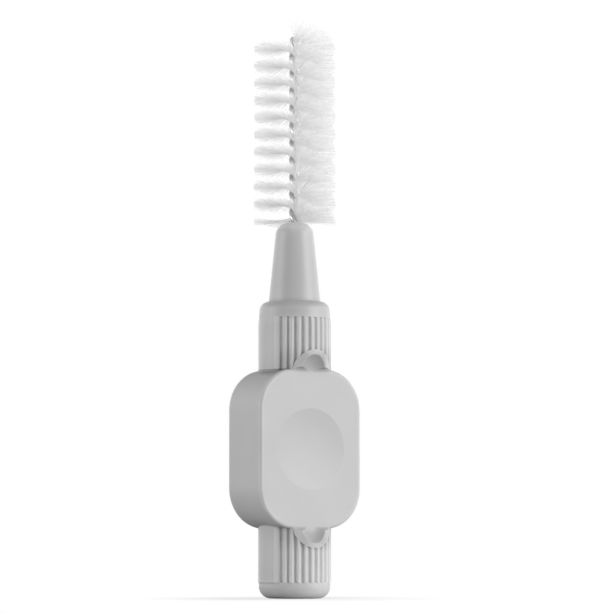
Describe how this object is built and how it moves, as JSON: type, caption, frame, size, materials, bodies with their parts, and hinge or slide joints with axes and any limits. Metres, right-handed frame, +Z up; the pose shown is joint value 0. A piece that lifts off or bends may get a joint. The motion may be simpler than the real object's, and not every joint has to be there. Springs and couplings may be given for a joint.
{
  "type": "interdental brush",
  "caption": "Short ribbed handle with a flat dished thumb plate and a tapered nose holding a twisted wire brush of fine radial filaments.",
  "frame": {"origin": "middle of the flat bottom end of the handle", "axes": "+Z up the handle towards the brush, -Y out of the front face of the thumb plate, X across the plate; the brush leans 15 degrees from +Z towards the back right"},
  "size_m": [0.0116, 0.0109, 0.0522],
  "materials": {
    "handle": "satin moulded polypropylene, pale neutral grey",
    "wire": "drawn stainless wire, bright grey",
    "filaments": "fine translucent white nylon"
  },
  "bodies": {
    "root": {"handle": "handle", "wire": "wire", "filament_row_01": "filaments", "filament_row_02": "filaments", "filament_row_03": "filaments", "filament_row_04": "filaments", "filament_row_05": "filaments", "filament_row_06": "filaments", "filament_row_07": "filaments", "filament_row_08": "filaments", "filament_row_09": "filaments", "filament_row_10": "filaments", "filament_row_11": "filaments"}
  },
  "joints": []
}
